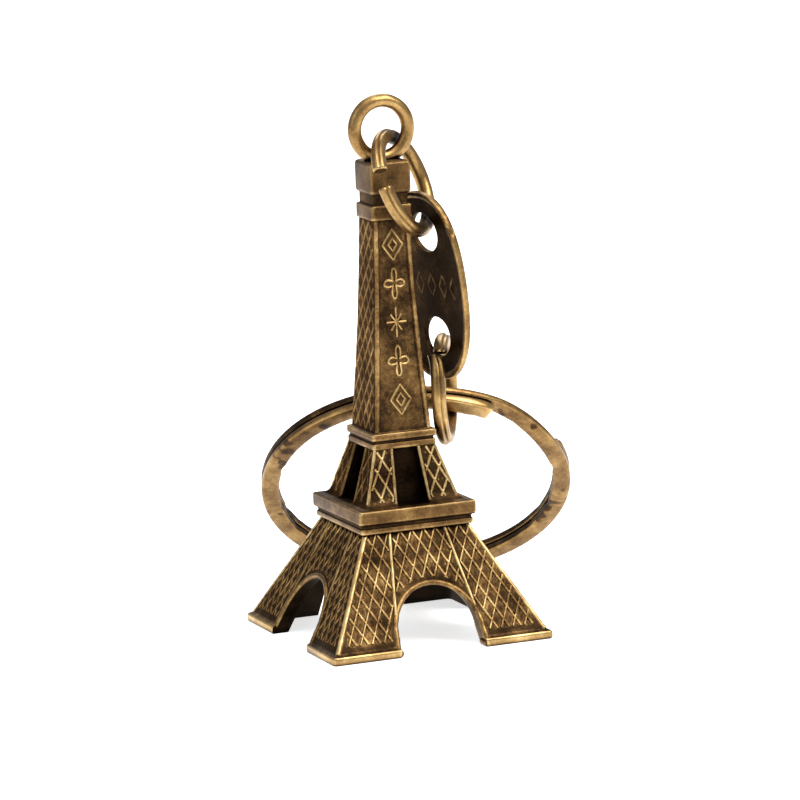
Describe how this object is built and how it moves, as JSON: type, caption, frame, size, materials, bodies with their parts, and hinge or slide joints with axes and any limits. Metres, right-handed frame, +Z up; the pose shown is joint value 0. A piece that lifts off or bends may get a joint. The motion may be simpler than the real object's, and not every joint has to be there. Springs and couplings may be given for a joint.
{
  "type": "souvenir tower figurine with key ring",
  "caption": "Small cast brass-finish lattice tower that stands on its feet, with a key ring hung from its top eye by jump rings and an oval tag.",
  "frame": {"origin": "under the middle of the whole object as it stands, in the plane that the four feet stand on; the tower's axis is at X -5.69 mm, Y -6.70 mm", "axes": "+Z up the tower; -Y out of the face with the raised ornaments; the tag and key ring lie on the +X, +Y side"},
  "size_m": [0.0342, 0.0362, 0.0523],
  "materials": {
    "antique_brass": "antique brass plating with dark patina in the recesses and rubbed edges",
    "tag_brass": "dark antique brass, satin",
    "ring_brass": "worn antique brass, bright satin"
  },
  "bodies": {
    "tower": {"tower": "antique_brass"},
    "upper_jump_ring": {"upper_jump_ring": "ring_brass"},
    "tag": {"tag_plate": "tag_brass"},
    "lower_jump_ring": {"lower_jump_ring": "ring_brass"},
    "key_ring": {"key_ring": "ring_brass"}
  },
  "joints": [
    {"name": "upper_ring_on_eye", "type": "hinge", "parent": "tower", "child": "upper_jump_ring", "pos_m": [-0.00569, -0.0067, 0.0489], "axis": [0, -1, 0], "range_deg": [0, 150]},
    {"name": "tag_on_upper_ring", "type": "hinge", "parent": "upper_jump_ring", "child": "tag", "pos_m": [-0.00192, -0.00795, 0.03943], "axis": [1, 0, 0], "range_deg": [0, 35]},
    {"name": "lower_ring_through_tag", "type": "hinge", "parent": "tag", "child": "lower_jump_ring", "pos_m": [0.00036, -0.00589, 0.02297], "axis": [0.8659, -0.4999, 0.0175], "range_deg": [0, 50]},
    {"name": "key_ring_on_lower_ring", "type": "hinge", "parent": "lower_jump_ring", "child": "key_ring", "pos_m": [0.00136, -0.00402, 0.02168], "axis": [0.9615, -0.2263, -0.1557], "range_deg": [0, 70]}
  ]
}
